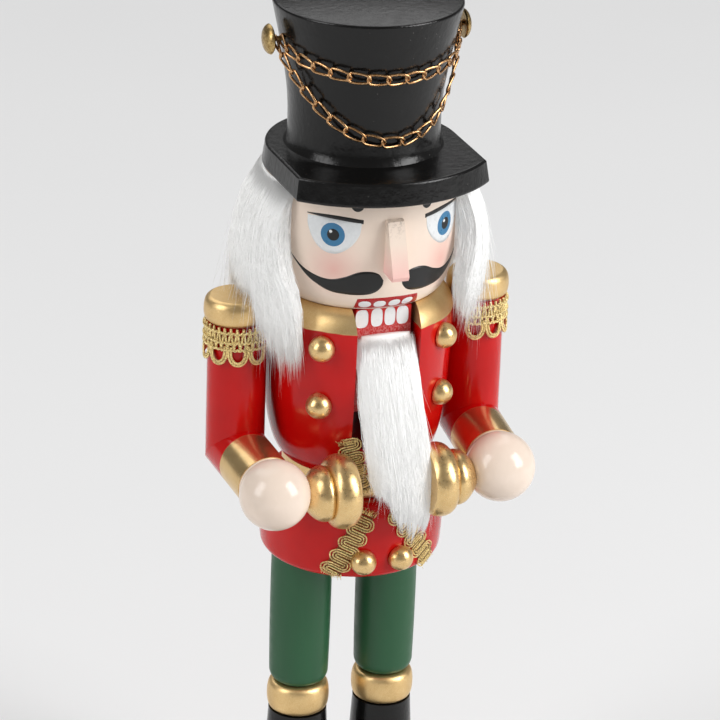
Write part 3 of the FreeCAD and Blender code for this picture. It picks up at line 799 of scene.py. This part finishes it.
def fibre_piece(name, rng, paths, thickness, strays, stray_share, body, replaces=()):
    """White fibres, full over most of their length and fine at both ends. The last ones are strays."""
    t = np.linspace(0, 1, FIBRE_POINTS)
    shape = np.minimum(1, 0.55 + t * 3) * (1 - 0.75 * t ** 2.2)
    radii = shape[None] * thickness * rng.uniform(0.7, 1.25, (len(paths), 1))
    radii[-strays:] *= stray_share
    vertices, faces = strand_mesh(paths, radii)
    return make_piece(name, vertices, faces, FUR, body, replaces)


BACK_SWELL = [(214, 43.5), (222, 44.5), (240, 45.8), (252, 46.8), (262, 47.2), (270, 46.2), (280, 43.4),
              (287, 39.6), (291, 37.2)]
FRONT_SWELL = [(205, 37.8), (222, 39.6), (240, 42.2), (252, 44.4), (262, 45.2), (276, 43.6),
               (287, 40.0), (291, 37.2)]


def hair_radius(angle, height):
    """The outside of the hair: fuller over the ears and behind than at the face."""
    back = read(BACK_SWELL, height)
    front = read(FRONT_SWELL, height)
    share = smooth_step((np.abs(angle) - 60) / 22)
    return front + (back - front) * share


def front_edge(height, side):
    """Where the hair parts from the face: the angle from the front, by height. side is -1 or 1."""
    right = [(205, 50), (228, 50), (238, 52), (246, 52), (254, 54.5), (261, 60), (269, 62.5), (276, 64.5),
             (284, 63.5), (291, 61)]
    left = [(205, 46), (236, 46), (246, 43), (256, 41), (262, 44), (270, 50), (283, 49), (291, 49)]
    return np.where(side < 0, read(right, height), read(left, height))


def hair_tip(angle):
    """How low the hair hangs, by the angle from the front: long locks before and behind each shoulder."""
    behind = [(104, 248.5), (110, 236), (122, 224), (142, 222), (156, 228), (165, 250), (180, 252)]
    right = [(55, 243), (61, 236), (66, 232), (71, 233), (76, 239), (81, 248)] + behind
    left = [(46, 256), (50, 250), (55, 245), (62, 243), (70, 245), (76, 248), (82, 248)] + behind
    away = np.abs(angle)
    return np.where(angle < 0, read(right, away), read(left, away))


def hair_fibres(rng, count, first, last, wild=0.0):
    """Paths of fibres that leave the band under the brim, swell outwards and gather into locks."""
    locks = 24
    lock_angle = rng.uniform(first, last, locks)
    lock_drop = rng.uniform(-6, 7, locks)
    root = rng.uniform(first, last, count)
    side = np.sign(root)[:, None]
    lock = np.abs(root[:, None] - lock_angle[None]).argmin(axis=1)
    layer = 1 - 0.75 * rng.random(count) ** 1.5
    top = 291.2 - rng.random(count) ** 2.2 * 28
    tip = hair_tip(root) + lock_drop[lock] + rng.normal(0, 4.5, count)
    tip += (1 - layer) * rng.uniform(-2, 16, count)
    tip = np.minimum(tip, top - 14)
    over_shoulder = (np.abs(root) > 77) & (np.abs(root) < 107)
    tip = np.where(over_shoulder, np.maximum(tip, SHOULDER_CLEAR), tip)
    tip = np.where(np.abs(root) > 156, np.maximum(tip, LEVER_CLEAR), tip)
    t = np.linspace(0, 1, FIBRE_POINTS)[None]
    height = top[:, None] + (tip - top)[:, None] * t
    follows = np.clip(1 - (np.abs(root)[:, None] - front_edge(HAIR_TOP, side)) / 20, 0, 1)
    drift = (front_edge(height, side) - front_edge(HAIR_TOP, side)) * follows
    pull = (np.abs(lock_angle[lock]) - np.abs(root))[:, None] * (t ** 1.8) * rng.uniform(0.1, 0.8, (count, 1))
    waves = rng.uniform(1.5, 6, (count, 1))
    sway = rng.normal(0, 1.4, (count, 1)) * np.sin(t * waves + rng.uniform(0, 6, (count, 1)))
    away = np.abs(root)[:, None] + drift + pull + sway * t ** 0.7
    edge = front_edge(height, side) - np.abs(rng.normal(0, 1.6, (count, 1)))
    away = np.where(away < edge, edge, away)
    angle = away * side
    outer = hair_radius(angle, height)
    inner = HEAD_R + 0.4
    leave = smooth_step(t * 4 + (top[:, None] > 289) * 0.85)
    radius = inner + (outer - inner) * layer[:, None] * leave
    radius += wild * rng.random((count, 1)) ** 3 * t ** 2
    radius += rng.normal(0, 0.55, (count, 1)) * np.sin(t * waves * 0.8 + 1.0) * t
    radius = np.maximum(radius, inner + 0.15)
    turn = np.radians(angle)
    return np.stack([radius * np.sin(turn), -radius * np.cos(turn), height], axis=2)


def hair_piece(name, seed, first, last, count, replaces):
    """Fibres of one sector of the hair, a share of them strays."""
    rng = np.random.default_rng(seed)
    paths = hair_fibres(rng, count, first, last)
    strays = hair_fibres(rng, count // 28, first, last, wild=9.0)
    drop = rng.uniform(0, STRAY_DROP, (len(strays), 1))
    strays[:, :, 2] -= np.linspace(0, 1, FIBRE_POINTS) ** 2 * drop
    paths = np.concatenate([paths, strays])
    above_lever = (np.abs(paths[..., 0]) < LEVER_HALF) & (paths[..., 1] > 0)
    paths[..., 2] = np.where(above_lever, np.maximum(paths[..., 2], LEVER_CLEAR), paths[..., 2])
    fibre_piece(name, rng, paths, 0.13, len(strays), 0.55, "root", replaces)


def hair_under(name, first, last, columns):
    """The dense fur against the head: a closed shell that the fibres cover."""
    rows = 10
    grid = []
    rng = np.random.default_rng(5)
    for j in range(columns + 1):
        angle = first + (last - first) * j / columns
        fade = min(1.0, 0.25 + 6 * min(j, columns - j) / columns)
        grid.append([])
        low = max(float(hair_tip(np.array(angle))) + 14, 248.0 if abs(angle) < 74 else 251.0)
        for i in range(rows + 1):
            height = HAIR_TOP + (low - HAIR_TOP) * i / rows
            swell = float(hair_radius(np.array(angle), height)) - HEAD_R
            closing = 1 - smooth_step(np.array((i / rows - 0.6) / 0.4)) * 0.8
            thick = 0.52 * swell * fade * float(closing) * min(1.0, i / rows * 3)
            swelled = HEAD_R + 0.45 + thick + rng.uniform(0, 0.3) * (i > 0)
            grid[j].append((on_round(angle, height, swelled), on_round(angle, height, HEAD_R + 0.3)))
    front, back = zip(*(column[i] for i in range(rows, -1, -1) for column in grid))
    soup = Soup()
    soup.shell(front, back, columns + 1)
    soup.piece(name, FUR_UNDER, slot="white_fur")


HAIR_SECTORS = [  # name, seed, first and last angle, fibres, CAD nodes that it stands for
    ("hair_front_right", 11, -78.0, -61.0, 6300, ("hair_lock_right",)),
    ("hair_front_left", 12, 49.0, 72.0, 6000, ("hair_lock_left",)),
    ("hair_side_right", 13, -118.0, -76.0, 6300, ("hair_back",)),
    ("hair_side_left", 14, 70.0, 118.0, 6300, ()),
    ("hair_nape_right", 15, -181.0, -116.0, 6300, ()),
    ("hair_nape_left", 16, 116.0, 181.0, 6300, ()),
]
for SECTOR in HAIR_SECTORS:
    hair_piece(*SECTOR)
hair_under("hair_under_right", -180, -64.5, 52)
hair_under("hair_under_left", 51, 180, 56)

BEARD = [  # height, left and right edge, back, front
    (236.6, -10.4, 10.4, -27.2, -31.6), (228, -10.8, 11.2, -27.4, -35.6), (212, -10.2, 12.6, -30.5, -39.6),
    (198, -9.4, 14.0, -34.4, -43.6), (184, -8.0, 15.6, -36.6, -46.5), (174, -6.0, 15.8, -36.6, -46.2),
    (164, -3.2, 14.8, -36.8, -44.5), (152, 0.0, 11.5, -37.0, -41.5),
]
CORE_TOP, CORE_LOW = 236.2, 166
BEARD_TIP = [(-1.0, 172), (-0.6, 166), (-0.1, 161), (0.3, 158), (0.7, 156), (1.0, 160)]


def beard_at(across, out, height):
    """A place in the beard: across and out run from -1 to 1 and from 0 to 1 over each section."""
    rows = np.array(BEARD)[::-1]
    left, right, back, front = (np.interp(height, rows[:, 0], rows[:, i]) for i in range(1, 5))
    x = (left + right) / 2 + (right - left) / 2 * across
    crown = np.sqrt(np.clip(1 - (across * 0.92) ** 2, 0.0, 1.0))
    y = back + (front - back) * out * (0.25 + 0.75 * crown)
    return np.stack([x, y, height], axis=-1)


def beard_fibres(rng, count, wild=0.0):
    """Paths of fibres that leave the jaw at many heights and gather into locks below the chest."""
    across = rng.uniform(-1, 1, count)
    out = 1 - 0.8 * rng.random(count) ** 2.0
    top = 236.4 - rng.random(count) ** 1.35 * 50
    locks = rng.uniform(-1, 1, 16)
    drop = rng.uniform(-3, 9, 16)
    lock = np.abs(across[:, None] - locks[None]).argmin(axis=1)
    low = read(BEARD_TIP, across) + drop[lock]
    low = low + np.abs(rng.normal(0, 6, count)) + (1 - out) * 8
    length = rng.uniform(22, 60, count)
    tip = np.maximum(low, top - length)
    tip = np.minimum(tip, top - 9)
    t = np.linspace(0, 1, FIBRE_POINTS)[None]
    height = top[:, None] + (tip - top)[:, None] * t
    pull = (locks[lock] - across)[:, None] * t ** 1.6 * rng.uniform(0.0, 0.55, (count, 1))
    pull = pull * smooth_step((215 - height) / 40)
    swing = rng.normal(0, 0.05, (count, 1))
    sway = swing * np.sin(t * rng.uniform(2, 7, (count, 1)) + rng.uniform(0, 6, (count, 1)))
    place = np.clip(across[:, None] + pull + sway, -1.06, 1.06)
    lift = out[:, None] * smooth_step(0.8 + t * 3) + rng.normal(0, 0.03, (count, 1)) * t
    paths = beard_at(place, lift, height)
    paths[..., 1] -= wild * rng.random((count, 1)) ** 2 * t ** 2
    paths[..., 0] += wild * rng.normal(0.15, 0.8, (count, 1)) * t ** 2
    return paths


def beard_core():
    """The dense fur inside the beard: a closed loft under the fibres."""
    soup = Soup()
    rows, spokes = 18, 20
    vertices = []
    for i in range(rows + 1):
        height = CORE_TOP + (CORE_LOW - CORE_TOP) * i / rows
        size = 0.9 if i < 12 else 0.9 - 0.75 * smooth_step(np.array((i - 12) / (rows - 12)))
        for k in range(spokes):
            turn = math.tau * k / spokes
            across = float(size) * math.cos(turn)
            out = 0.45 + 0.42 * float(size) * math.sin(turn)
            vertices.append(tuple(beard_at(np.array(across), np.array(out), np.array(height))))
    soup.rings(vertices, spokes)
    return soup.piece("beard_core", FUR_UNDER, None, ("beard",), "white_fur")


def beard_piece(name, seed, count):
    rng = np.random.default_rng(seed)
    paths = beard_fibres(rng, count)
    strays = beard_fibres(rng, count // 22, wild=3.2)
    return fibre_piece(name, rng, np.concatenate([paths, strays]), 0.12, len(strays), 0.5, None)


BEARD_TOP, BEARD_HANGS = (0, -0.030, 0.232), (0, -0.040, 0.172)
for PIECE in (beard_core(), beard_piece("beard_fibres_a", 21, 6200), beard_piece("beard_fibres_b", 22, 6200)):
    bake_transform(PIECE)
    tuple(BEARD_TOP)
    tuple(BEARD_HANGS)


# ---- Gold braid ----

COAT_TREE = tree_of("torso", "belt", "skirt")
GIMP_PITCH = 3.05       # from one bar of the serpentine to the next
CORD_GAP = 0.96
WEFT_GAP = 0.7
LOOSE_THREADS = 30


def on_coat(x, height, lift):
    """A point over the front of the coat, whose outline is read beside the jaw slot."""
    outward = on_round(40, 0, 1)
    level = max(height, node_box("skirt")[0].z + 1.2)
    hit = COAT_TREE.ray_cast(outward * 80 + Vector((0, 0, level)), -outward)[0]
    radius = math.hypot(hit.x, hit.y) + lift
    return Vector((x, -math.sqrt(radius ** 2 - x ** 2), height))


def meander(length, pitch, bar):
    """A serpentine as (along, across) points: bars of a half-length joined by half-round turns."""
    turns = max(1, round(length / pitch))
    pitch = length / turns
    bend = pitch / 2
    line = []
    for k in range(turns):
        way = 1 if k % 2 == 0 else -1
        middle = pitch * (k + 0.5)
        line += [(pitch * k, way * bar * share) for share in (-0.8, -0.4, 0.0, 0.4, 0.8)]
        for i in range(13):
            turn = math.pi * i / 12
            line.append((middle - bend * math.cos(turn), way * (bar + bend * math.sin(turn))))
    return line


def side_line(line, offset):
    """A flat line moved sideways."""
    points = np.array(line)
    ahead = np.gradient(points, axis=0)
    ahead /= np.linalg.norm(ahead, axis=1, keepdims=True)
    return points + offset * np.stack([-ahead[:, 1], ahead[:, 0]], axis=1)


def frayed(soup, rng, at, out):
    """Loose threads at a cut end of the braid."""
    for _ in range(LOOSE_THREADS):
        spread = rng.uniform(-3.4, 3.4)
        side = (-out[1], out[0])
        start = (at[0] + side[0] * spread, at[1] + side[1] * spread)
        reach = rng.uniform(1.0, 3.0)
        lean = rng.uniform(-1.2, 1.2)
        path = []
        for i in range(6):
            t = i / 5
            u = start[0] + out[0] * (reach * t - 1.0) + side[0] * lean * t * t
            v = start[1] + out[1] * (reach * t - 1.0) + side[1] * lean * t * t
            path.append(on_coat(u, v, 0.5 + rng.uniform(0, 0.9) * t))
        soup.tube(path, lambda t: 0.16 * (1 - 0.6 * t), sides=4)


def gimp(where, side, start, end, width, seed):
    """Gimp braid: three cords side by side in a serpentine, stitched to a backing on the coat that is
    coloured dark as painted shade between the cords.
    """
    rng = random.Random(seed)
    run = math.dist(start, end)
    ahead = ((end[0] - start[0]) / run, (end[1] - start[1]) / run)
    def laid(along, across, lift):
        return on_coat(start[0] + ahead[0] * along - ahead[1] * across,
                       start[1] + ahead[1] * along + ahead[0] * across, lift)

    soup = Soup()
    line = meander(run, GIMP_PITCH, width / 2 - GIMP_PITCH / 2 - CORD_GAP - 0.3)
    for k in (-1, 0, 1):
        path = [laid(a, c, 0.62 + 0.15 * math.sin(a * 2.1 + k)) for a, c in side_line(line, k * CORD_GAP)]
        soup.cord(path, 0.18, 0.15, 1.0, step=0.2)
    for at, out in ((start, (-ahead[0], -ahead[1])), (end, ahead)):
        frayed(soup, rng, at, out)
    soup.piece(f"{where}_gimp_{side}", BRAID, replaces=(f"{where}_braid_{side}",), slot="gold_braid")
    # a backing of weft threads, dark with painted shade between the cords
    weft = Soup()
    for i in range(round(run / WEFT_GAP)):
        along = 0.35 + i * WEFT_GAP
        reach = width / 2 - 1.5
        weft.tube([laid(along, -reach + 2 * reach * j / 8, 0.1) for j in range(9)], 0.22, sides=5)
    weft.piece(f"{where}_gimp_{side}_backing", BACKING_SHADE, slot="gold_braid")


gimp("waist", "right", (-13.6, 196.0), (-5.0, 173.0), 9.0, 31)
gimp("waist", "left", (12.0, 195.0), (5.0, 173.0), 8.6, 31)
gimp("hem", "right", (-17.8, 143.4), (-6.0, 168.0), 9.4, 32)
gimp("hem", "left", (20.6, 143.4), (5.2, 167.0), 9.4, 33)


def epaulette(side, sign):
    """Shoulder fringe: upright twisted loops over a row of hanging scallops, open towards the body."""
    low, high = node_box(f"shoulder_braid_{side}")
    arm = node_box(f"upper_arm_{side}")
    axis_x = (arm[0].x + arm[1].x) / 2
    arm_r = (arm[1].x - arm[0].x) / 2
    radius = arm_r + 0.75
    half_opening = 52

    def place(degrees, height, lift=0.0):
        turn = math.radians(degrees)
        r = radius + lift
        return Vector((axis_x + sign * r * math.cos(turn), r * math.sin(turn), height))

    rng = random.Random(41)
    arc = 360 - 2 * half_opening
    first = -arc / 2
    head, waist = high.z + 0.5, low.z + 4.8
    soup = Soup()
    loops = 45
    path = []
    for i in range(loops * 10 + 1):
        t = i / 10
        degrees = first + arc * t / loops
        sway = math.cos(math.pi * t)
        height = (head + waist) / 2 + (head - waist) / 2 * math.copysign(abs(sway) ** 0.7, sway)
        height += rng.uniform(-0.12, 0.12)
        path.append(place(degrees - 1.1 * math.sin(math.tau * t), height, 0.1))
    soup.cord(path, 0.3, 0.25, 1.25)
    for height in (head - 1.6, waist + 3.2, waist + 0.5):
        wave = [place(first + arc * i / 160, height + 0.3 * math.sin(i * 1.3), 0.6) for i in range(161)]
        soup.cord(wave, 0.28, 0.22, 1.2)
    scallops = 7
    step = arc / scallops
    drop = waist - low.z + 1.2
    for number in range(scallops):
        middle = first + step * (number + 0.5)
        for inset in (0.0, 0.9):
            path = []
            for i in range(37):
                turn = math.pi * (i / 36) * 1.2 - math.pi * 0.1
                reach = step * 0.47 - math.degrees(inset / radius)
                dip = max(0.0, math.sin(turn)) ** 0.75
                height = waist + 0.6 - (drop - inset) * dip + (1.0 if not 0 < turn < math.pi else 0)
                path.append(place(middle - math.cos(turn) * reach, height, 0.3 + 0.3 * dip))
            soup.cord(path, 0.29, 0.25, 1.2)
    soup.piece(f"epaulette_{side}", BRAID, replaces=(f"shoulder_braid_{side}",), slot="gold_braid")


for SIDE, SIGN in (("right", -1), ("left", 1)):
    epaulette(SIDE, SIGN)


# ---- Hat chains ----

CROWN_TREE = tree_of("hat_crown")
TACK_Z = sum(c.z for c in node_box("hat_tack_left")) / 2
LINK_LENGTH, LINK_WIDTH, LINK_WIRE = 9.0, 4.8, 0.98
LINK_PITCH = 6.9
LINK_TWIST = math.radians(20)
CHAIN_OUTSET = 1.65     # of the chains' centre line from the crown


def crown_radius(height):
    hit = CROWN_TREE.ray_cast(Vector((0, -80, height)), Vector((0, 1, 0)))[0]
    return -hit.y


def chain_point(share, low, end_x):
    """The chain's line: share runs from -1 at the right tack over 0 in front to +1 at the left."""
    angle = math.radians(90 * share)
    height = low + (TACK_Z - low) * share ** 2
    free = crown_radius(height) + CHAIN_OUTSET
    radius = free + (end_x - free) * share ** 8
    return Vector((radius * math.sin(angle), -radius * math.cos(angle), height))


def chain(which, low, end_x):
    """Curb chain of twisted oval links. low is its height in front, end_x its place on a tack."""
    steps = 500
    line = [chain_point(-1 + 2 * i / steps, low, end_x) for i in range(steps + 1)]
    reach = [0.0]
    for before, after in zip(line, line[1:]):
        reach.append(reach[-1] + (after - before).length)
    inset = LINK_LENGTH / 2 - 1.4
    span = reach[-1] - 2 * inset
    count = round(span / LINK_PITCH)
    soup = Soup()
    bend_r = (LINK_WIDTH - LINK_WIRE) / 2
    half = (LINK_LENGTH - LINK_WIRE) / 2 - bend_r
    for number in range(count + 1):
        target = inset + span * number / count
        at = min(range(1, steps), key=lambda i: abs(reach[i] - target))
        ahead = (line[at + 1] - line[at - 1]).normalized()
        outward = Vector((line[at].x, line[at].y, 0)).normalized()
        across = outward.cross(ahead).normalized()
        normal = ahead.cross(across)
        path = []
        for i in range(28):
            turn = math.tau * i / 28
            u = half * (1 if math.cos(turn) > 0 else -1) * min(1.0, abs(math.cos(turn)) * 2.2)
            u += bend_r * math.cos(turn)
            v = bend_r * math.sin(turn)
            lean = LINK_TWIST * (0.55 + u / (half + bend_r))
            path.append(line[at] + ahead * u + across * (v * math.cos(lean)) + normal * (v * math.sin(lean)))
        soup.tube(path, LINK_WIRE / 2, sides=8, closed=True)
    soup.piece(f"curb_chain_{which}", CHAIN, "hat_chain", (f"hat_chain_{which}",), "gilt_chain")


chain("upper", 333.4, 32.0)
chain("lower", 309.4, 34.6)


# ---- Floor, light and camera ----

FLOOR_HALF = 4000.0
WORLD_STRENGTH = 0.19
CHEST = Vector((0, 0, 0.2))


def floor():
    shader = Shader("studio_floor", Roughness=0.9)
    shader.colour(shader.mix(shader.noise(160, detail=3), (0.785, 0.785, 0.787), (0.80, 0.80, 0.80)))
    corners = [(x * FLOOR_HALF, y * FLOOR_HALF, 0) for x, y in ((-1, -1), (1, -1), (1, 1), (-1, 1))]
    make_piece("floor", corners, [(0, 1, 2, 3)], shader.material, None)


def soft_light(name, place, size, watts):
    """A soft box that looks at the figure's chest."""
    lamp = bpy.data.lights.new(name, "AREA")
    lamp.shape = "RECTANGLE"
    lamp.size, lamp.size_y = size
    lamp.energy = watts
    box = add_object(name, lamp)
    box.location = place
    box.rotation_euler = (CHEST - Vector(place)).to_track_quat("-Z", "Y").to_euler()


def studio():
    world = bpy.data.worlds.new("studio_world")
    world.use_nodes = True
    sky = world.node_tree.nodes["Background"].inputs
    sky["Color"].default_value = (1.0, 1.0, 1.0, 1.0)
    sky["Strength"].default_value = WORLD_STRENGTH
    bpy.context.scene.world = world
    soft_light("right_box", (1.75, -1.60, 1.55), (1.3, 2.0), 70)
    soft_light("left_box", (-2.30, -0.40, 1.50), (1.1, 2.0), 32)
    soft_light("overhead", (0.0, 2.2, 3.2), (4.5, 3.5), 66)


def camera():
    """The three-quarter view from above and from the figure's right."""
    azimuth, elevation, roll = math.radians(-21.113), math.radians(23.246), math.radians(2.056)
    target, distance = Vector((0.001728, 0, 0.213946)), 1.35819
    back = Vector((math.sin(azimuth) * math.cos(elevation), -math.cos(azimuth) * math.cos(elevation),
                   math.sin(elevation)))
    level = (-back).cross(Vector((0, 0, 1))).normalized()
    up = level.cross(-back)
    right = level * math.cos(roll) + up * math.sin(roll)
    up = back.cross(right)
    lens = bpy.data.cameras.new("camera")
    lens.lens, lens.sensor_width = 184.77, 36.0
    lens.clip_end = 20
    eye = add_object("camera", lens)
    turned = Matrix((right, up, back)).transposed().to_4x4()
    eye.matrix_world = Matrix.Translation(target + back * distance) @ turned
    bpy.context.scene.camera = eye


bpy.context.scene.view_settings.view_transform = "Standard"
floor()
studio()
camera()
